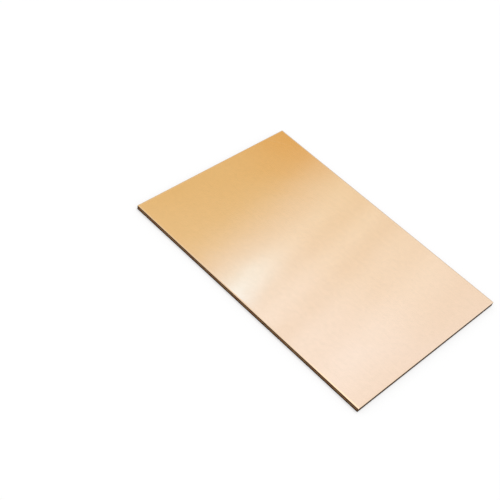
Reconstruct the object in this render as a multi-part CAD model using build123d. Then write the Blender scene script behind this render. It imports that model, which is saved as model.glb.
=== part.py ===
from build123d import *
import os
from math import sqrt

# A copper clad board, the blank that a printed circuit is etched from: a stiff sheet of resin
# bonded laminate with copper foil pressed onto its upper face. Sizes are in millimetres.
# The origin is the centre of the underside, X runs along the long side, and Z points up.

board_length = 100.0     # long side, cut to size on a guillotine
board_width = 70.0       # short side
core_thickness = 1.565   # laminate under the flat of the foil
foil_thickness = 0.035   # one ounce of copper to the square foot

# The blade drags the foil and the laminate under it down a little at each cut edge, so the face
# is flat inside a narrow border and rolls down along an arc to the cut.
roll_width = 0.60        # width of the rolled border
roll_drop = 0.07         # fall of the laminate's upper face over that width

# The arc leaves the flat tangentially. The foil keeps its thickness round it, on the same centre.
core_roll_radius = (roll_width**2 + roll_drop**2) / (2 * roll_drop)
foil_roll_radius = core_roll_radius + foil_thickness


def rolled_section(span, top, radius):
    """Cross-section from the underside to a flat at height top, rolled down at both ends."""
    half = span / 2
    flat_half = half - roll_width
    edge_height = top - radius + sqrt(radius**2 - roll_width**2)
    right_arc = RadiusArc((flat_half, top), (half, edge_height), radius)
    left_arc = RadiusArc((-half, edge_height), (-flat_half, top), radius)
    outline = [
        Line((-half, 0), (half, 0)),
        Line((half, 0), (half, edge_height)),
        right_arc,
        Line((flat_half, top), (-flat_half, top)),
        left_arc,
        Line((-half, edge_height), (-half, 0)),
    ]
    return make_face(outline)


def rolled_slab(top, radius):
    """Rectangular slab whose upper face rolls down along all four cut edges, mitred at corners."""
    along_length = extrude(Plane.XZ * rolled_section(board_length, top, radius),
                           board_width / 2, both=True)
    along_width = extrude(Plane.YZ * rolled_section(board_width, top, radius),
                          board_length / 2, both=True)
    return along_length & along_width


def laminate_core():
    """The stiff sheet: the bond face under the foil is its rolled upper face."""
    return rolled_slab(core_thickness, core_roll_radius)


def copper_foil():
    """Foil over the whole upper face, cut off flush with the laminate's four edges."""
    board = rolled_slab(core_thickness + foil_thickness, foil_roll_radius)
    return board - laminate_core()


sub_parts = {
    "laminate_core": laminate_core(),
    "copper_foil": copper_foil(),
}

os.makedirs("parts", exist_ok=True)
for name, shape in sub_parts.items():
    export_step(shape, f"parts/{name}.step")
    print(name, "volume", round(shape.volume, 3), "mm3, valid", shape.is_valid,
          "size", shape.bounding_box().size)
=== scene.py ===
# %% [markdown]
# # A copper clad board
# This is the blank that a printed circuit is etched from. A stiff sheet, pressed from plies of
# paper soaked in resin, carries one layer of copper foil as thin as a hair. The imported model gives
# both pieces at their real size. This lesson leaves their sizes alone and gives them their finish:
# the satin foil with its film of tarnish and a painted reflection, and the torn plies along the cut
# edges.

# %% Load the imported model
import math

import bmesh
import bpy
from mathutils import Matrix, Vector, noise


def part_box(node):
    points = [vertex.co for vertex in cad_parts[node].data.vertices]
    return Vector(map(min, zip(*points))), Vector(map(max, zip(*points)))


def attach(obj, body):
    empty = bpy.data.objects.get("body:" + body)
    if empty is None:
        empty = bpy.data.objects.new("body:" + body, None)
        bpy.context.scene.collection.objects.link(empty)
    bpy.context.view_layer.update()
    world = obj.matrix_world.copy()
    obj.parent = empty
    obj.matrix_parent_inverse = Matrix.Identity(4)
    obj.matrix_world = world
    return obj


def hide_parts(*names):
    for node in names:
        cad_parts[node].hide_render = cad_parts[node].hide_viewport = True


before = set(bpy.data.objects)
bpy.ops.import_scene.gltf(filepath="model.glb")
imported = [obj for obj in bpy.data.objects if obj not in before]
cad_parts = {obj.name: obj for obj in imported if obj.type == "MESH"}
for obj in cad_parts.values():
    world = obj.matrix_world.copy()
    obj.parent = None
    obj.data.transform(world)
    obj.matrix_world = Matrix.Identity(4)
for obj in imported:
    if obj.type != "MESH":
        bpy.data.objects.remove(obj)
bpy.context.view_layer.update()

print("pieces in the frame:", sorted(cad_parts))

# %% [markdown]
# ## Sizes
# Lengths here are in metres, and a board is easier to think of in millimetres, so one constant
# turns one into the other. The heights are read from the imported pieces. The foil's lowest point is
# at the cut edge, where the blade dragged it down, so the drop there needs no number of its own.

# %% Read the board's sizes
MM = 0.001

core_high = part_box("laminate_core")[1]
foil_low, foil_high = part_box("copper_foil")
half_length = core_high.x
half_width = core_high.y
core_top = core_high.z
foil_top = foil_high.z
cut_height = foil_low.z

roll_width = 0.60 * MM
roll_drop = core_top - cut_height
core_roll_radius = (roll_width**2 + roll_drop**2) / (2 * roll_drop)
foil_roll_radius = core_roll_radius + foil_top - core_top

print("board, mm:", [round(size / MM, 3) for size in (2 * half_length, 2 * half_width, foil_top)])
print("foil thickness, mm:", round((foil_top - core_top) / MM, 4))

# %% [markdown]
# ## The rolled border
# A guillotine presses on the board before it cuts, so the face near each cut rolls down along a
# shallow arc. Both pieces need that arc, one above the other, so it is one function of how far a
# point lies in from the nearest cut. It could be a bevel, but a bevel turns all the way down to
# the side, and this arc stops short where the blade went through.

# %% Height of a rolled face
def inset_of(place):
    """How far a point lies in from the nearest cut edge."""
    return min(half_length - abs(place.x), half_width - abs(place.y))


def rolled_height(flat_height, radius, inset):
    """Height of a face that is flat inside the rolled border and follows the arc outside it."""
    reach = max(roll_width - inset, 0.0)
    return flat_height - radius + math.sqrt(radius**2 - reach**2)


lip_top = rolled_height(foil_top, foil_roll_radius, 0)
print("the copper falls, mm:", round((foil_top - lip_top) / MM, 4))

# %% [markdown]
# ## A rectangle with a fine outline
# Both pieces start from one rectangle. Its four sides are divided finely, because the roughness of
# a cut is real shape here and not only shading, while the flat inside needs no points at all. That
# one face is then extruded and drawn in, again and again, and each time leaves a ring that follows
# the outline. Insetting it would be shorter, but past the first step an inset folds at the corners.

# %% Helpers for both pieces
outline_step = 0.20 * MM
ring_insets = [inset * MM for inset in (0.04, 0.10, 0.18, 0.28, 0.40, 0.50, 0.60, 0.75)]
broad_face = 1.0 * MM**2


def outline_face(bm, height):
    """One rectangular face the size of the board, its outline divided into short edges."""
    bmesh.ops.create_grid(bm, x_segments=1, y_segments=1, size=1.0)
    bmesh.ops.scale(bm, vec=(half_length, half_width, 1), verts=bm.verts)
    bmesh.ops.translate(bm, vec=(0, 0, height), verts=bm.verts)
    for side in list(bm.edges):
        cuts = round(side.calc_length() / outline_step) - 1
        bmesh.ops.subdivide_edges(bm, edges=[side], cuts=cuts)
    return bm.faces[:][0]


def extruded(bm, face, keep_old=False):
    """Extrudes one face and gives back the new one, which still lies where the old one was."""
    grown = bmesh.ops.extrude_face_region(bm, geom=[face])
    new_face = next(item for item in grown["geom"] if isinstance(item, bmesh.types.BMFace))
    if not keep_old:
        bmesh.ops.delete(bm, geom=[face], context="FACES_ONLY")
    return new_face


def add_rings(bm, face, flat_height, radius):
    """Extrudes the face ring by ring, each drawn in to its inset and set to the rolled height."""
    done = 0.0
    for inset in ring_insets:
        face = extruded(bm, face)
        along = (half_length - inset) / (half_length - done)
        across = (half_width - inset) / (half_width - done)
        bmesh.ops.scale(bm, vec=(along, across, 1), verts=face.verts)
        done = inset
        for corner in face.verts:
            corner.co.z = rolled_height(flat_height, radius, inset)


def finish_piece(bm, name):
    """Turns the faces outwards, shades all but the broad ones smooth, and makes the object."""
    bmesh.ops.recalc_face_normals(bm, faces=bm.faces)
    for face in bm.faces:
        face.smooth = face.calc_area() < broad_face
    mesh = bpy.data.meshes.new(name)
    bm.to_mesh(mesh)
    bm.free()
    piece = bpy.data.objects.new(name, mesh)
    bpy.context.scene.collection.objects.link(piece)
    print(name, "faces:", len(mesh.polygons))
    return piece


outline_length = 4 * (half_length + half_width)
print("short edges round the outline:", round(outline_length / outline_step))

# %% [markdown]
# ## A map of each piece
# When the model is exported, each finish becomes a picture, and a map says which part of the
# picture each face wears. An automatic map treats all faces alike, so the cut edge, which has the
# finest pattern, would get a strip a dozen pixels high. This one lays the upper face, the underside
# and the four cuts in rows of their own, and stretches each cut until it is as long as the map.

# %% Lay out the map
map_margin = 0.01
row_share = 0.9     # the part of its row that a cut fills, the rest is a gap
level_from = 0.7    # how far up or down a face must point to count as lying flat


def spread(value, half_size, low=map_margin, high=1 - map_margin):
    """Where a value between minus and plus half_size falls between low and high."""
    return low + (high - low) * (value + half_size) / (2 * half_size)


def lay_out_map(bm, upper_row, lower_row, cut_rows, cut_middle, half_cut):
    """Gives each face its place on the map. A row is a lower and an upper limit from 0 to 1."""
    bmesh.ops.recalc_face_normals(bm, faces=bm.faces)
    uv = bm.loops.layers.uv.new("OFBake")
    for face in bm.faces:
        middle = face.calc_center_median()
        if abs(face.normal.z) > level_from:
            row = upper_row if face.normal.z > 0 else lower_row
            for corner in face.loops:
                place = corner.vert.co
                corner[uv].uv = spread(place.x, half_length), spread(place.y, half_width, *row)
            continue
        on_end = half_length - abs(middle.x) < half_width - abs(middle.y)
        side = 2 * on_end + ((middle.x if on_end else middle.y) > 0)
        height = (cut_rows[1] - cut_rows[0]) / 4
        row = cut_rows[0] + side * height, cut_rows[0] + (side + row_share) * height
        for corner in face.loops:
            place = corner.vert.co
            along, half_side = (place.y, half_width) if on_end else (place.x, half_length)
            above = place.z - cut_middle
            corner[uv].uv = spread(along, half_side), spread(above, half_cut, *row)


print("a long side fills this much of the map:", 1 - 2 * map_margin)

# %% [markdown]
# ## The copper foil
# The foil is rolled or plated in a long web and pressed onto the plies while the resin is still
# soft. It ends flush with the cut, with a lip that is a little ragged where the blade tore it. The
# sheet is made as its upper face, then extruded down to the face of the laminate, so that it is a
# closed solid with a real thickness.

# %% Model the foil
lip_depth = 0.006 * MM
lip_pitch = 0.9 * MM
foil_upper_row, foil_lower_row, foil_cut_rows = (0.19, 0.99), (0.08, 0.17), (0.01, 0.06)


def ragged(place, pitch):
    """A smooth irregular value from 0 to 1 that changes over about one pitch."""
    smoothness, step, octaves = 0.7, 2.1, 4
    return 0.5 + 0.5 * noise.fractal(place / pitch, smoothness, step, octaves)


def make_foil():
    bm = bmesh.new()
    face = outline_face(bm, lip_top)
    outline = list(face.verts)
    add_rings(bm, face, foil_top, foil_roll_radius)
    for corner in outline:
        tear = lip_depth * ragged(corner.co, lip_pitch)
        corner.co.x -= math.copysign(tear, corner.co.x)
        corner.co.y -= math.copysign(tear, corner.co.y)
    below = bmesh.ops.extrude_face_region(bm, geom=bm.faces[:])
    for corner in below["geom"]:
        if isinstance(corner, bmesh.types.BMVert):
            corner.co.z = rolled_height(core_top, core_roll_radius, inset_of(corner.co))
    half_lip = (foil_top - core_top) / 2
    lay_out_map(bm, foil_upper_row, foil_lower_row, foil_cut_rows, cut_height + half_lip, half_lip)
    return finish_piece(bm, "satin_foil")


foil = make_foil()

# %% [markdown]
# ## The laminate core
# Under the foil lies a stack of paper plies in dark resin. The blade shears the upper plies clean
# and breaks the lower ones, so a cut edge shows thin bands, and it grows rougher towards the
# underside. Here the rectangle is drawn up row by row, several rows to a ply, and the rows then
# move inwards by what the blade tore out. A bump map could fake that, but the outline of the edge
# would stay a ruled line when seen from close by.

# %% Roughness of a cut
ply_count = 9
rows_in_ply = 4
glue_line_depth = 0.020 * MM
tear_depth = 0.085 * MM
chip_depth = 0.08 * MM
fibre_length = 0.95 * MM
fibre_height = 0.15 * MM
chip_pitch = 1.1 * MM
chip_from, chip_to = 0.66, 1.0        # only the peaks of the noise are chips
# Shares of the cut's height.
clean_from, clean_to = 0.55, 0.75
burr_height = 0.12
chip_height = 0.2
clean_share = 0.75                    # how much less the clean part is torn
glue_line_share = 0.25                # a glue line's half width as a share of a ply


def rise(value, start, end):
    """0 up to start, 1 from end on, and a straight rise between them."""
    return min(max((value - start) / (end - start), 0.0), 1.0)


def torn_inwards(along, height, side):
    """How deep the cut lies behind the ruled edge, for a point on one of the four sides."""
    share_up = height / cut_height
    above_burr = rise(share_up, 0.0, burr_height)
    fibres = ragged(Vector((along / fibre_length, height / fibre_height, side)), 1.0)
    torn = fibres * (1 - clean_share * rise(share_up, clean_from, clean_to)) * above_burr
    from_glue = share_up * ply_count % 1.0
    to_nearest = min(from_glue, 1 - from_glue)
    glue_line = max(1 - to_nearest / glue_line_share, 0) * above_burr
    chip = rise(ragged(Vector((along / chip_pitch, side, 3.0)), 1.0), chip_from, chip_to)
    low_down = 1 - rise(share_up, 0.0, chip_height)
    return tear_depth * torn + glue_line_depth * glue_line + chip_depth * chip * low_down


print("deepest tear, mm:", round((tear_depth + glue_line_depth + chip_depth) / MM, 3))

# %% Model the laminate
core_upper_row, core_lower_row, core_cut_rows = (0.28, 0.44), (0.46, 0.99), (0.01, 0.27)
on_the_cut = 0.01 * MM
end_seed, side_seed = 7, 19


def make_laminate():
    bm = bmesh.new()
    face = outline_face(bm, 0.0)
    rows = ply_count * rows_in_ply
    for row in range(rows):
        face = extruded(bm, face, keep_old=row == 0)
        for corner in face.verts:
            corner.co.z = cut_height * (row + 1) / rows
    cut_points = list(bm.verts)
    add_rings(bm, face, core_top, core_roll_radius)
    lay_out_map(bm, core_upper_row, core_lower_row, core_cut_rows, cut_height / 2, cut_height / 2)
    for corner in cut_points:
        place = corner.co.copy()
        if abs(place.x) > half_length - on_the_cut:
            depth = torn_inwards(place.y, place.z, math.copysign(end_seed, place.x))
            corner.co.x -= math.copysign(depth, place.x)
        if abs(place.y) > half_width - on_the_cut:
            depth = torn_inwards(place.x, place.z, math.copysign(side_seed, place.y))
            corner.co.y -= math.copysign(depth, place.y)
    return finish_piece(bm, "pressed_laminate")


laminate = make_laminate()

# %% [markdown]
# ## Colours and nodes
# A finish is a small tree of nodes. One function turns the hex colours that a designer writes into
# the linear values that the renderer mixes, and one adds a node with its settings and links.

# %% Helpers for the finishes
def linear(hex_colour):
    """Linear RGBA of an sRGB hex colour such as F5D6B1."""
    parts = [int(hex_colour[i:i + 2], 16) / 255 for i in (0, 2, 4)]
    return [p / 12.92 if p <= 0.04045 else ((p + 0.055) / 1.055) ** 2.4 for p in parts] + [1.0]


def add(tree, kind, settings=None, links=None):
    """Adds one shader node: settings are properties or socket values, links feed its sockets."""
    made = tree.nodes.new("ShaderNode" + kind)
    for key, value in (settings or {}).items():
        if isinstance(key, str) and hasattr(made, key):
            setattr(made, key, value)
        else:
            made.inputs[key].default_value = value
    for key, source in (links or {}).items():
        tree.links.new(source, made.inputs[key])
    return made


def new_finish(name):
    """An empty material and its node tree."""
    finish = bpy.data.materials.new(name)
    finish.use_nodes = True
    finish.node_tree.nodes.clear()
    return finish, finish.node_tree


def place_in_mm(tree):
    """The point's place on the board in millimetres, so that patterns are sized in them."""
    where = add(tree, "TexCoord")
    in_mm = add(tree, "Mapping", {"Scale": (1 / MM, 1 / MM, 1 / MM)},
                {"Vector": where.outputs["Object"]})
    return in_mm.outputs["Vector"]


def set_stops(ramp, stops):
    """Fills a colour ramp. A stop is a place from 0 to 1 and a linear colour."""
    while len(ramp.elements) < len(stops):
        ramp.elements.new(0.5)
    for element, (place, colour) in zip(ramp.elements, stops):
        element.position = place
        element.color = colour


# The Mix node holds a set of sockets for each kind of value, so its colour sockets go by number.
COLOUR_A, COLOUR_B, MIXED = 6, 7, 2

print("the grey 808080 as a linear value:", round(linear("808080")[0], 3))

# %% [markdown]
# ## The tone of the copper
# Fresh foil is pink. Air and handling lay a thin film of oxide over it, which turns it golden. Here
# the colour runs from gold at one corner to pale towards the other end. That gradient is partly such
# an uneven film and partly a painted reflection of warm surroundings on the gold side. A broad
# noise bends that gradient, and a fine one mottles it, because a perfect gradient looks printed.
# Pattern sizes in the cells from here on are in millimetres.

# %% Tone of the foil
# The gold end is partly tarnish and partly a painted reflection of warm surroundings; the pale end
# is fresh copper.
tarnish_and_painted_gold, fresh = "E8BD88", "F2D1B0"
fade_from, fade_to = -42.0, 50.0
fade_lean = -0.60
fade_bend, bend_size = 36.0, 40
mottle_depth, mottle_size = 0.035, 1.8


def copper_tone(tree, in_mm):
    """Colour of the foil with its film of oxide and a painted reflection, gold at one end."""
    place = add(tree, "SeparateXYZ", links={"Vector": in_mm})
    drift = add(tree, "TexNoise", {"Scale": 1 / bend_size, "Detail": 2.0, "Roughness": 0.4},
                {"Vector": in_mm})
    bent = add(tree, "Math", {"operation": "MULTIPLY_ADD", 1: fade_bend, 2: -fade_bend / 2},
               {0: drift.outputs["Fac"]})
    across = add(tree, "Math", {"operation": "MULTIPLY_ADD", 1: fade_lean},
                 {0: place.outputs["Y"], 2: bent.outputs[0]})
    from_corner = add(tree, "Math", {"operation": "ADD"},
                      {0: place.outputs["X"], 1: across.outputs[0]})
    gold_to_pale = add(tree, "MapRange", {"From Min": fade_from, "From Max": fade_to},
                {"Value": from_corner.outputs[0]})
    # The mix from gold to pale: part tarnish film, part painted reflection.
    film_and_painted_gold = add(tree, "Mix",
               {"data_type": "RGBA", COLOUR_A: linear(tarnish_and_painted_gold), COLOUR_B: linear(fresh)},
               {0: gold_to_pale.outputs["Result"]})
    mottle = add(tree, "TexNoise", {"Scale": 1 / mottle_size, "Detail": 3.0, "Roughness": 0.55},
                 {"Vector": in_mm})
    shade = add(tree, "MapRange", {"To Min": 1 - mottle_depth, "To Max": 1 + mottle_depth},
                {"Value": mottle.outputs["Fac"]})
    toned = add(tree, "VectorMath", {"operation": "SCALE"},
                {0: film_and_painted_gold.outputs[MIXED], "Scale": shade.outputs["Result"]})
    return toned.outputs["Vector"]


print("the film thins out over, mm:", fade_to - fade_from)

# %% [markdown]
# ## Grain and hairlines
# The rolls that make the foil leave lines along the web, and the press plate prints a slight
# unevenness, so a window mirrored in the copper has soft and slightly bent edges. Stacked boards
# also rub hairlines into each other. Real roll lines are a few hundredths of a millimetre apart.
# They are drawn at 0.25 mm here, because finer ones would blur into one tone.

# %% Relief of the foil
line_size, line_stretch = 0.25, 0.03
rub_size, rub_stretch = 0.25, 0.008
rub_from, rub_to = 0.82, 0.88                 # only the highest peaks of the noise are scratches
rub_directions = ((8, 3.0), (-34, 11.0))      # a turn in degrees and a shift


def roll_grain(tree, in_mm):
    """Lines along the board's length, as a noise that is stretched about thirty times."""
    along = add(tree, "Mapping", {"Scale": (line_stretch, 1.0, 1.0)}, {"Vector": in_mm})
    lines = add(tree, "TexNoise", {"Scale": 1 / line_size, "Detail": 3.0, "Roughness": 0.6},
                {"Vector": along.outputs["Vector"]})
    return lines.outputs["Fac"]


def hairlines(tree, in_mm):
    """Sparse short scratches in two directions: 1 in a scratch and 0 elsewhere."""
    found = []
    for turn, shift in rub_directions:
        turned = add(tree, "Mapping",
                     {"Rotation": (0, 0, math.radians(turn)), "Location": (shift, shift, 0)},
                     {"Vector": in_mm})
        drawn_out = add(tree, "Mapping", {"Scale": (rub_stretch, 1.0, 1.0)},
                        {"Vector": turned.outputs["Vector"]})
        rub = add(tree, "TexNoise", {"Scale": 1 / rub_size, "Detail": 0.0},
                  {"Vector": drawn_out.outputs["Vector"]})
        scratch = add(tree, "MapRange", {"From Min": rub_from, "From Max": rub_to},
                      {"Value": rub.outputs["Fac"]})
        found.append(scratch.outputs["Result"])
    either = add(tree, "Math", {"operation": "MAXIMUM"}, {0: found[0], 1: found[1]})
    return either.outputs[0]


def near_the_cut(tree, in_mm, width):
    """1 at the cut edges, falling to 0 that many millimetres inside them."""
    folded = add(tree, "VectorMath", {"operation": "ABSOLUTE"}, {0: in_mm})
    to_cut = add(tree, "VectorMath",
                 {"operation": "SUBTRACT", 0: (half_length / MM, half_width / MM, 0)},
                 {1: folded.outputs["Vector"]})
    both = add(tree, "SeparateXYZ", links={"Vector": to_cut.outputs["Vector"]})
    inset = add(tree, "Math", {"operation": "MINIMUM"},
                {0: both.outputs["X"], 1: both.outputs["Y"]})
    near = add(tree, "MapRange", {"From Min": 0.0, "From Max": width, "To Min": 1.0, "To Max": 0.0},
               {"Value": inset.outputs[0]})
    return near.outputs["Result"]


print("a roll line is about this long, mm:", round(line_size / line_stretch, 1))

# %% [markdown]
# ## Satin copper
# Copper foil for boards is rolled between polished cylinders and pressed against a steel plate, so
# it is a smooth metal with a satin sheen: it mirrors the room as soft patches. It is drawn as a
# metal of low roughness. The rolled border is burnished by the blade and by every board that slid
# over it, so it is smoother and a little paler than the face.

# %% Finish of the foil
burnished, burnish_width = "F2D2B0", 0.70
streak_depth = 0.03
satin_low, satin_high, satin_size = 0.07, 0.13, 9
scratch_roughness, burnish_roughness = 0.10, -0.03    # added to the satin
swell_size, swell_height = 16, 0.030 * MM
line_height, scratch_height = 0.0003 * MM, 0.0008 * MM


def satin_copper():
    finish, tree = new_finish("satin_rolled_copper")
    in_mm = place_in_mm(tree)
    tone = copper_tone(tree, in_mm)
    grain = roll_grain(tree, in_mm)
    scratches = hairlines(tree, in_mm)
    burnish = near_the_cut(tree, in_mm, burnish_width)

    streak = add(tree, "MapRange", {"To Min": 1 - streak_depth, "To Max": 1 + streak_depth},
                 {"Value": grain})
    base = add(tree, "VectorMath", {"operation": "SCALE"},
               {0: tone, "Scale": streak.outputs["Result"]})
    rubbed = add(tree, "Mix", {"data_type": "RGBA", COLOUR_B: linear(burnished)},
                 {0: burnish, COLOUR_A: base.outputs["Vector"]})

    cloud = add(tree, "TexNoise", {"Scale": 1 / satin_size, "Detail": 4.0}, {"Vector": in_mm})
    satin = add(tree, "MapRange", {"To Min": satin_low, "To Max": satin_high},
                {"Value": cloud.outputs["Fac"]})
    scored = add(tree, "Math", {"operation": "MULTIPLY_ADD", 1: scratch_roughness},
                 {0: scratches, 2: satin.outputs["Result"]})
    rough = add(tree, "Math", {"operation": "MULTIPLY_ADD", 1: burnish_roughness},
                {0: burnish, 2: scored.outputs[0]})

    swell = add(tree, "TexNoise", {"Scale": 1 / swell_size, "Detail": 1.0}, {"Vector": in_mm})
    pressed = add(tree, "Bump", {"Strength": 1.0, "Distance": swell_height},
                  {"Height": swell.outputs["Fac"]})
    lined = add(tree, "Bump", {"Strength": 1.0, "Distance": line_height},
                {"Height": grain, "Normal": pressed.outputs["Normal"]})
    relief = add(tree, "Bump", {"Strength": 1.0, "Distance": scratch_height, "invert": True},
                 {"Height": scratches, "Normal": lined.outputs["Normal"]})

    metal = add(tree, "BsdfPrincipled", {"Metallic": 1.0},
                {"Base Color": rubbed.outputs[MIXED], "Roughness": rough.outputs[0],
                 "Normal": relief.outputs["Normal"]})
    add(tree, "OutputMaterial", links={"Surface": metal.outputs["BSDF"]})
    return finish


foil.data.materials.append(satin_copper())
print("foil finish:", foil.data.materials[0].name)

# %% [markdown]
# ## The bands of a cut edge
# The core is kraft paper in phenolic resin, pressed hot. Cut through, it shows the plies as thin
# bands with dark resin between them. The clean upper part is dark and close, the middle is paler
# where the paper was pulled open, and the plies next to the underside are dark again. The bands
# are a colour ramp over the height, and a noise that is long in the direction of the fibres makes
# them wander. In places the bands are redder. The fibres lie along the board, so the two short
# sides are their end grain. Those sides are drawn darker, partly for the end grain and partly as
# painted shade of sides turned from the light.

# %% Colours of the cut edges
band_stops = ((0.00, "3C2310"), (0.10, "40260F"), (0.17, "5E3F20"), (0.22, "3C2310"),
              (0.33, "3A210E"), (0.39, "B08755"), (0.62, "A67A4C"), (0.68, "3A200D"),
              (1.00, "34190A"))
dark_resin, red_tint = "1E1008", "F0B8A0"
red_from, red_to, red_share, red_size = 0.42, 0.60, 0.45, 5
glue_from, glue_share = 0.75, 0.60
# The short sides are darker: partly end grain, partly painted shade.
end_from, end_to, end_shade = 0.20, 0.40, 0.50


def resin_and_paper(tree, in_mm, level):
    """The bands of the cut, from the underside up, redder in places."""
    bands = add(tree, "ValToRGB", links={"Fac": level})
    set_stops(bands.color_ramp, [(height, linear(colour)) for height, colour in band_stops])
    red_patches = add(tree, "TexNoise", {"Scale": 1 / red_size, "Detail": 2.0}, {"Vector": in_mm})
    redder = add(tree, "MapRange", {"From Min": red_from, "From Max": red_to, "To Max": red_share},
                 {"Value": red_patches.outputs["Fac"]})
    tinted = add(tree, "Mix",
                 {"data_type": "RGBA", "blend_type": "MULTIPLY", COLOUR_B: linear(red_tint)},
                 {0: redder.outputs["Result"], COLOUR_A: bands.outputs["Color"]})
    return tinted.outputs[MIXED]


def glue_lines(tree, share_up, waver):
    """How far each point is dark resin: a line between each ply and the next, here and there."""
    turns = add(tree, "Math", {"operation": "MULTIPLY", 1: ply_count * 2 * math.pi}, {0: share_up})
    wave = add(tree, "Math", {"operation": "COSINE"}, {0: turns.outputs[0]})
    line = add(tree, "MapRange", {"From Min": glue_from, "From Max": 1.0, "To Max": glue_share},
               {"Value": wave.outputs[0]})
    broken = add(tree, "Math", {"operation": "MULTIPLY"}, {0: line.outputs["Result"], 1: waver})
    return broken.outputs[0]


def end_grain_and_painted_shade(tree, beside):
    """A factor below 1 on the two short sides: end grain, where the blade cut across the fibres, and
    painted shade.
    """
    from_middle = add(tree, "Math", {"operation": "ABSOLUTE"}, {0: beside})
    to_end = add(tree, "Math", {"operation": "SUBTRACT", 0: half_length / MM},
                 {1: from_middle.outputs[0]})
    factor = add(tree, "MapRange", {"From Min": end_from, "From Max": end_to, "To Min": end_shade},
                 {"Value": to_end.outputs[0]})
    return factor.outputs["Result"]


print("bands in the ramp:", len(band_stops))

# %% [markdown]
# ## Fibres in the cut edge
# Up to the clean part the paper is torn: its fibres lie along the cut as pale and dark strands, and
# loose ones hang out of it as tufts. That part is matt, and the clean one has a dull shine.

# %% Finish of the cut edges
waver_size, waver_stretch, waver_reach = 0.8, (0.35, 0.35, 2.0), 0.17
torn_from, torn_to, torn_rest = 0.70, 0.78, 0.35
fibre_size, fibre_stretch = 0.3, (0.30, 0.30, 4.0)
fibre_from, fibre_to, fibre_contrast = 0.36, 0.64, 0.45
tuft_size, tuft_stretch = 0.16, (0.35, 0.35, 3.5)
tuft_from, tuft_to, tuft_share, tuft_colour = 0.56, 0.72, 0.55, "A58058"
sheared_rough, torn_rough = 0.48, 0.82
fibre_relief = 0.030 * MM


def sheared_plies():
    finish, tree = new_finish("sheared_phenolic_paper_edge")
    in_mm = place_in_mm(tree)
    place = add(tree, "SeparateXYZ", links={"Vector": in_mm})
    share_up = add(tree, "Math", {"operation": "DIVIDE", 1: cut_height / MM},
                   {0: place.outputs["Z"]})

    long_way = add(tree, "Mapping", {"Scale": waver_stretch}, {"Vector": in_mm})
    waver = add(tree, "TexNoise", {"Scale": 1 / waver_size, "Detail": 9.0, "Roughness": 0.66},
                {"Vector": long_way.outputs["Vector"]})
    shift = add(tree, "MapRange", {"To Min": -waver_reach, "To Max": waver_reach},
                {"Value": waver.outputs["Fac"]})
    level = add(tree, "Math", {"operation": "ADD"},
                {0: share_up.outputs[0], 1: shift.outputs["Result"]})
    torn = add(tree, "MapRange",
               {"From Min": torn_from, "From Max": torn_to, "To Min": 1.0, "To Max": torn_rest},
               {"Value": level.outputs[0]})

    plies = add(tree, "Mix", {"data_type": "RGBA", COLOUR_B: linear(dark_resin)},
                {0: glue_lines(tree, share_up.outputs[0], waver.outputs["Fac"]),
                 COLOUR_A: resin_and_paper(tree, in_mm, level.outputs[0])})

    stretched = add(tree, "Mapping", {"Scale": fibre_stretch}, {"Vector": in_mm})
    fibres = add(tree, "TexNoise", {"Scale": 1 / fibre_size, "Detail": 8.0, "Roughness": 0.75},
                 {"Vector": stretched.outputs["Vector"]})
    strands = add(tree, "MapRange",
                  {"From Min": fibre_from, "From Max": fibre_to,
                   "To Min": -fibre_contrast, "To Max": fibre_contrast},
                  {"Value": fibres.outputs["Fac"]})
    shade = add(tree, "Math", {"operation": "MULTIPLY_ADD"},
                {0: strands.outputs["Result"], 1: torn.outputs["Result"],
                 2: end_grain_and_painted_shade(tree, place.outputs["X"])})
    paper = add(tree, "VectorMath", {"operation": "SCALE"},
                {0: plies.outputs[MIXED], "Scale": shade.outputs[0]})

    fluff = add(tree, "Mapping", {"Scale": tuft_stretch}, {"Vector": in_mm})
    hairs = add(tree, "TexNoise",
                {"Scale": 1 / tuft_size, "Detail": 3.0, "Roughness": 0.6, "Distortion": 0.6},
                {"Vector": fluff.outputs["Vector"]})
    tufts = add(tree, "MapRange",
                {"From Min": tuft_from, "From Max": tuft_to, "To Max": tuft_share},
                {"Value": hairs.outputs["Fac"]})
    bare = add(tree, "Math", {"operation": "MULTIPLY"},
               {0: tufts.outputs["Result"], 1: torn.outputs["Result"]})
    fuzzy = add(tree, "Mix", {"data_type": "RGBA", COLOUR_B: linear(tuft_colour)},
                {0: bare.outputs[0], COLOUR_A: paper.outputs["Vector"]})

    rough = add(tree, "MapRange",
                {"From Min": torn_rest, "To Min": sheared_rough, "To Max": torn_rough},
                {"Value": torn.outputs["Result"]})
    relief = add(tree, "Bump", {"Strength": 0.8, "Distance": fibre_relief},
                 {"Height": fibres.outputs["Fac"]})
    body = add(tree, "BsdfPrincipled", {"Specular IOR Level": 0.2},
               {"Base Color": fuzzy.outputs[MIXED], "Roughness": rough.outputs["Result"],
                "Normal": relief.outputs["Normal"]})
    add(tree, "OutputMaterial", links={"Surface": body.outputs["BSDF"]})
    return finish


laminate.data.materials.append(sheared_plies())
print("edge finish:", laminate.data.materials[0].name)

# %% [markdown]
# ## The pressed face
# The underside was pressed against a steel plate, so it is flat and slightly glossy, and the paper
# shows through the resin: a felt of short fibres, lighter and darker brown. Fibres that lie every
# way are drawn by the same stretched noise turned to several angles.

# %% Finish of the underside
felt_turns = (5, 38, 74, 109, 146)
felt_size, felt_stretch = 0.22, 0.12
felt_from, felt_to = 0.38, 0.62
felt_dark, felt_light = "643E1E", "9C6A38"
stain_size, stain_depth = 12, 0.14
glossy, dull = 0.32, 0.48
felt_relief = 0.004 * MM


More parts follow.
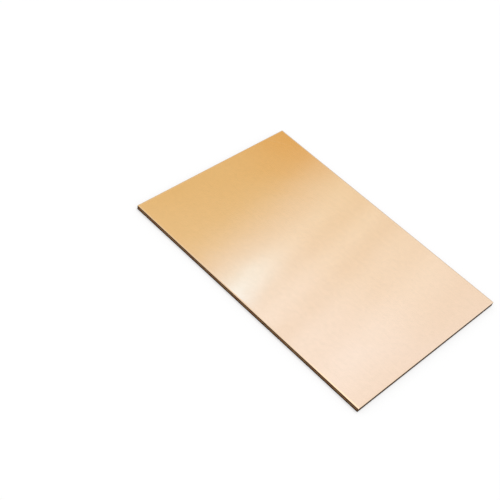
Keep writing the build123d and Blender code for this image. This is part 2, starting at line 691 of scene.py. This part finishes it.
def paper_felt(tree, in_mm):
    """Short fibres lying every way, as one grey value about 0.5."""
    total = None
    for turn in felt_turns:
        turned = add(tree, "Mapping",
                     {"Rotation": (0, 0, math.radians(turn)), "Location": (turn, 0, 0)},
                     {"Vector": in_mm})
        drawn_out = add(tree, "Mapping", {"Scale": (felt_stretch, 1.0, 1.0)},
                        {"Vector": turned.outputs["Vector"]})
        strand = add(tree, "TexNoise", {"Scale": 1 / felt_size, "Detail": 1.0},
                     {"Vector": drawn_out.outputs["Vector"]}).outputs["Fac"]
        if total is None:
            total = strand
        else:
            total = add(tree, "Math", {"operation": "ADD"}, {0: total, 1: strand}).outputs[0]
    mean = add(tree, "Math", {"operation": "DIVIDE", 1: len(felt_turns)}, {0: total})
    return mean.outputs[0]


def pressed_face():
    finish, tree = new_finish("pressed_phenolic_paper_face")
    in_mm = place_in_mm(tree)
    felt = paper_felt(tree, in_mm)
    felt_shade = add(tree, "MapRange", {"From Min": felt_from, "From Max": felt_to},
                     {"Value": felt})
    paper = add(tree, "Mix",
                {"data_type": "RGBA", COLOUR_A: linear(felt_dark), COLOUR_B: linear(felt_light)},
                {0: felt_shade.outputs["Result"]})
    cloud = add(tree, "TexNoise", {"Scale": 1 / stain_size, "Detail": 3.0}, {"Vector": in_mm})
    cloud_shade = add(tree, "MapRange", {"To Min": 1 - stain_depth, "To Max": 1 + stain_depth},
                      {"Value": cloud.outputs["Fac"]})
    stained = add(tree, "VectorMath", {"operation": "SCALE"},
                  {0: paper.outputs[MIXED], "Scale": cloud_shade.outputs["Result"]})
    rough = add(tree, "MapRange",
                {"From Min": felt_from, "From Max": felt_to, "To Min": glossy, "To Max": dull},
                {"Value": felt})
    relief = add(tree, "Bump", {"Strength": 0.5, "Distance": felt_relief}, {"Height": felt})
    body = add(tree, "BsdfPrincipled", links={"Base Color": stained.outputs["Vector"],
                                              "Roughness": rough.outputs["Result"],
                                              "Normal": relief.outputs["Normal"]})
    add(tree, "OutputMaterial", links={"Surface": body.outputs["BSDF"]})
    return finish


laminate.data.materials.append(pressed_face())
for polygon in laminate.data.polygons:
    polygon.material_index = 0 if polygon.use_smooth else 1
print("laminate finishes:", [finish.name for finish in laminate.data.materials])

# %% [markdown]
# ## Join the looks to the frame
# Each dressed piece stands for one imported piece, which is hidden, and rides on the board's only
# body.

# %% Ride and replace
for piece, node, slot in ((foil, "copper_foil", "copper"), (laminate, "laminate_core", "laminate")):
    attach(piece, "root")
    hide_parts(node)
    print(piece.name, "stands for", node, "and wears the finish", slot)

# %% [markdown]
# ## A white floor
# The floor shows the board's soft shadow. Its paint is a pale grey, because white paint would throw
# so much light up at the cut edges that their dark plies look washed out. A glow that only the
# camera and reflections see tops the grey up until the open floor is plain white.

# %% Floor
room_light = 0.70
key_light = 0.30
paint_colour = "B4B4B4"
plain_white = 1.01      # a hair above 1, so that the noise of the render doesn't show
floor_top_up = plain_white - linear(paint_colour)[0] * (room_light + key_light)
floor_reach = 4.0


def seen_directly(tree):
    """1 for rays from the camera, a mirror or glass, and 0 for rays that gather light."""
    ray = add(tree, "LightPath")
    seen = add(tree, "Math", {"operation": "MAXIMUM"},
               {0: ray.outputs["Is Camera Ray"], 1: ray.outputs["Is Glossy Ray"]})
    return add(tree, "Math", {"operation": "MAXIMUM"},
               {0: seen.outputs[0], 1: ray.outputs["Is Transmission Ray"]}).outputs[0]


def floor_paint():
    finish, tree = new_finish("matt_floor_paint")
    top_up = add(tree, "Math", {"operation": "MULTIPLY", 1: floor_top_up},
                 {0: seen_directly(tree)})
    paint = add(tree, "BsdfDiffuse", {"Color": linear(paint_colour)})
    glow = add(tree, "Emission", {"Color": linear("FFFFFF")}, {"Strength": top_up.outputs[0]})
    both = add(tree, "AddShader", links={0: paint.outputs["BSDF"], 1: glow.outputs["Emission"]})
    add(tree, "OutputMaterial", links={"Surface": both.outputs["Shader"]})
    return finish


def stage_piece(bm, name, finish):
    """An object of the set, which isn't part of the board."""
    mesh = bpy.data.meshes.new(name)
    bm.to_mesh(mesh)
    bm.free()
    mesh.materials.append(finish)
    made = bpy.data.objects.new(name, mesh)
    bpy.context.scene.collection.objects.link(made)
    return made


bm = bmesh.new()
bmesh.ops.create_grid(bm, x_segments=1, y_segments=1, size=floor_reach)
stage_piece(bm, "floor", floor_paint())
print("floor top-up:", round(floor_top_up, 3))

# %% [markdown]
# ## Light
# The set is a white tent. The room light comes evenly from everywhere, and one soft key comes
# from high up behind the board, so the cut edges that face the camera stay in the shade. Key and
# room light together come to one, at which a matt colour looks as it was written.

# %% Key light and room light
key_azimuth, key_elevation, key_spread = -10, 68, 24


def towards(azimuth, elevation):
    """Unit vector that points that many degrees round from the back (+Y, to the right) and up."""
    a, e = math.radians(azimuth), math.radians(elevation)
    return Vector((math.sin(a) * math.cos(e), math.cos(a) * math.cos(e), math.sin(e)))


key_from = towards(key_azimuth, key_elevation)
key = bpy.data.lights.new("key_light", "SUN")
key.energy = key_light * math.pi / key_from.z
key.angle = math.radians(key_spread)
key_lamp = bpy.data.objects.new("key_light", key)
key_lamp.matrix_world = (-key_from).to_track_quat("-Z", "Y").to_matrix().to_4x4()
key_lamp.visible_glossy = False
bpy.context.scene.collection.objects.link(key_lamp)

room = bpy.data.worlds.new("white_room")
room.use_nodes = True
room.node_tree.nodes.clear()
level = add(room.node_tree, "MapRange", {"To Min": room_light, "To Max": 1.0},
            {"Value": seen_directly(room.node_tree)})
glow = add(room.node_tree, "Background", {"Color": linear("FFFFFF")},
           {"Strength": level.outputs["Result"]})
add(room.node_tree, "OutputWorld", links={"Surface": glow.outputs["Background"]})
bpy.context.scene.world = room
bpy.context.scene.view_settings.view_transform = "Standard"
print("key light strength:", round(key.energy, 3))

# %% [markdown]
# ## What the metal mirrors
# Metal shows nothing but its surroundings, and in an even white room it would look like paper. So
# there are cards around the board that only reflections see. The first is a tent over the whole
# set, white above and dim and warm at its foot, with broad uneven patches.

# %% A tent that only reflections see
def brighter(hex_colour, brightness):
    """Linear RGBA of a card that outshines white paper: a hex colour times its brightness."""
    return [brightness * part for part in linear(hex_colour)[:3]] + [1.0]


tent_radius = 2.0
tent_white, tent_gold = brighter("EDF4FF", 1.22), linear("F7EFD4")
tent_foot, foot_from, foot_to = linear("A69784"), 0.08 * tent_radius, 0.68 * tent_radius
patches_per_metre, patch_from, patch_to = 0.55, 0.44, 0.56


def card(bm, name, finish):
    """A card that isn't seen by the camera, throws no shadow and lights no matt surface."""
    made = stage_piece(bm, name, finish)
    made.visible_camera = False
    made.visible_diffuse = False
    made.visible_shadow = False
    made.visible_transmission = False
    made.visible_volume_scatter = False
    return made


def glowing(tree, colour):
    """Ends a card's finish: it glows with that colour."""
    glow = add(tree, "Emission", links={"Color": colour})
    add(tree, "OutputMaterial", links={"Surface": glow.outputs["Emission"]})


def tent_cloth():
    finish, tree = new_finish("tent_cloth")
    where = add(tree, "TexCoord")
    place = add(tree, "SeparateXYZ", links={"Vector": where.outputs["Object"]})
    patches = add(tree, "TexNoise", {"Scale": patches_per_metre, "Detail": 1.0},
                  {"Vector": where.outputs["Object"]})
    patch = add(tree, "MapRange", {"interpolation_type": "SMOOTHSTEP",
                                   "From Min": patch_from, "From Max": patch_to},
                {"Value": patches.outputs["Fac"]})
    wall = add(tree, "Mix", {"data_type": "RGBA", COLOUR_A: tent_gold, COLOUR_B: tent_white},
               {0: patch.outputs["Result"]})
    height = add(tree, "MapRange", {"interpolation_type": "SMOOTHSTEP",
                                    "From Min": foot_from, "From Max": foot_to},
                 {"Value": place.outputs["Z"]})
    cloth = add(tree, "Mix", {"data_type": "RGBA", COLOUR_A: tent_foot},
                {0: height.outputs["Result"], COLOUR_B: wall.outputs[MIXED]})
    glowing(tree, cloth.outputs[MIXED])
    return finish


bm = bmesh.new()
bmesh.ops.create_uvsphere(bm, u_segments=64, v_segments=32, radius=tent_radius)
bmesh.ops.bisect_plane(bm, geom=bm.verts[:] + bm.edges[:] + bm.faces[:], plane_co=(0, 0, 0),
                       plane_no=(0, 0, 1), clear_inner=True)
tent = card(bm, "tent", tent_cloth())
print("tent faces:", len(tent.data.polygons))

# %% [markdown]
# ## Gold film and diffuser
# Over the board hangs a sheet that is half gold film, as a photographer's reflector is, and half
# daylight diffuser: the line between the two gives the copper its turn from gold to pale. The
# diffuser hangs in soft slanting folds, which cross the copper as broad pale stripes, and one fold
# glows at its near end. The folds are a colour ramp over a slanting coordinate. A ramp can't hold a
# colour brighter than 1, so this one holds how far a fold faces the light, and a Mix node turns
# that into the bright colours. Places on the sheet are in metres.

# %% The sheet over the board
sheet_size, sheet_place = (1.2, 0.9), (-0.45, 0.80, 0.90)
gold_near, gold_far, gold_from, gold_to = linear("FAF6DF"), linear("F6DEA6"), 0.79, 0.99
line_from, line_to = -0.452, -0.370
fold_lean, fold_from, fold_to = 0.17, -0.42, -0.06
ridge, valley = brighter("D8E7FF", 1.65), brighter("EDF3FF", 1.18)
fold_lines = ((-0.365, 0.28), (-0.342, 1.00), (-0.309, 0.03), (-0.280, 0.98), (-0.247, 0.00),
              (-0.220, 0.70), (-0.186, 0.34), (-0.150, 0.72), (-0.118, 0.42), (-0.088, 0.20))
spot_place, spot_reach, spot_glow = (-0.342, 0.60), (0.045, 0.22), brighter("41B0FF", 1.50)


def folded_diffuser(tree, leaning):
    """Colour of the diffuser: bright ridges and dimmer valleys along the slanting coordinate."""
    share = add(tree, "MapRange", {"From Min": fold_from, "From Max": fold_to}, {"Value": leaning})
    facing = add(tree, "ValToRGB", links={"Fac": share.outputs["Result"]})
    facing.color_ramp.interpolation = "EASE"
    set_stops(facing.color_ramp, [((at - fold_from) / (fold_to - fold_from), [tone] * 3 + [1])
                                  for at, tone in fold_lines])
    folds = add(tree, "Mix", {"data_type": "RGBA", COLOUR_A: valley, COLOUR_B: ridge},
                {0: facing.outputs["Color"]})
    return folds.outputs[MIXED]


def glowing_spot(tree, leaning, back):
    """1 at the middle of the fold's bright end, falling to 0 round an oval."""
    along = add(tree, "CombineXYZ", links={"X": leaning, "Y": back})
    oval = add(tree, "Mapping",
               {"Location": (-spot_place[0] / spot_reach[0], -spot_place[1] / spot_reach[1], 0.0),
                "Scale": (1 / spot_reach[0], 1 / spot_reach[1], 1.0)},
               {"Vector": along.outputs["Vector"]})
    spot = add(tree, "TexGradient", {"gradient_type": "QUADRATIC_SPHERE"},
               {"Vector": oval.outputs["Vector"]})
    return spot.outputs["Fac"]


def two_tone_sheet():
    finish, tree = new_finish("gold_film_and_diffuser")
    where = add(tree, "TexCoord")
    place = add(tree, "SeparateXYZ", links={"Vector": where.outputs["Object"]})
    leaning = add(tree, "VectorMath", {"operation": "DOT_PRODUCT", 1: (1.0, fold_lean, 0.0)},
                  {0: where.outputs["Object"]}).outputs["Value"]
    back = add(tree, "MapRange", {"interpolation_type": "SMOOTHSTEP",
                                  "From Min": gold_from, "From Max": gold_to},
               {"Value": place.outputs["Y"]})
    gold = add(tree, "Mix", {"data_type": "RGBA", COLOUR_A: gold_near, COLOUR_B: gold_far},
               {0: back.outputs["Result"]})
    line = add(tree, "MapRange", {"interpolation_type": "SMOOTHSTEP",
                                  "From Min": line_from, "From Max": line_to},
               {"Value": leaning})
    both = add(tree, "Mix", {"data_type": "RGBA"},
               {0: line.outputs["Result"], COLOUR_A: gold.outputs[MIXED],
                COLOUR_B: folded_diffuser(tree, leaning)})
    lit = add(tree, "Mix", {"data_type": "RGBA", "blend_type": "ADD", COLOUR_B: spot_glow},
              {0: glowing_spot(tree, leaning, place.outputs["Y"]), COLOUR_A: both.outputs[MIXED]})
    glowing(tree, lit.outputs[MIXED])
    return finish


bm = bmesh.new()
bmesh.ops.create_grid(bm, x_segments=1, y_segments=1, size=0.5)
bmesh.ops.scale(bm, vec=(*sheet_size, 1), verts=bm.verts)
bmesh.ops.translate(bm, vec=sheet_place, verts=bm.verts)
card(bm, "two_tone_sheet", two_tone_sheet())
print("folds on the sheet:", sum(tone > 0.5 for at, tone in fold_lines))

# %% [markdown]
# ## The lamp's own reflection
# The key light is a sun lamp, which has no face to mirror. A round card in its direction stands for
# the diffuser in front of the lamp, and shows where the rolled border turns towards it.

# %% Lamp diffuser
lamp_radius, lamp_distance, lamp_glow = 0.19, 0.92, brighter("FFFFFF", 1.40)

bm = bmesh.new()
bmesh.ops.create_circle(bm, cap_ends=True, segments=48, radius=lamp_radius)
bmesh.ops.translate(bm, vec=key_from * lamp_distance, verts=bm.verts)
lamp_finish, lamp_tree = new_finish("lamp_diffuser")
lamp_face = add(lamp_tree, "Emission", {"Color": lamp_glow})
add(lamp_tree, "OutputMaterial", links={"Surface": lamp_face.outputs["Emission"]})
card(bm, "lamp_diffuser", lamp_finish)

# %% [markdown]
# ## Camera
# The camera stands where the photographer's did, above one near corner and turned a little about
# its own axis, so that the long side climbs steeply through the picture.

# %% Camera
camera_place = Vector((119.1, -217.3, 248.6)) * MM
camera_aim = Vector((-13.99, -17.47, 1.6)) * MM
camera_roll = Matrix.Rotation(math.radians(16.18), 4, "Z")
camera = bpy.data.objects.new("camera", bpy.data.cameras.new("camera"))
camera.data.sensor_width = 36.0
camera.data.lens = 76.1
camera.data.clip_start = 0.01
turned = (camera_aim - camera_place).to_track_quat("-Z", "Y").to_matrix().to_4x4()
camera.matrix_world = Matrix.Translation(camera_place) @ turned @ camera_roll
bpy.context.scene.collection.objects.link(camera)
bpy.context.scene.camera = camera
print("camera to board, mm:", round((camera_place - camera_aim).length / MM, 1))
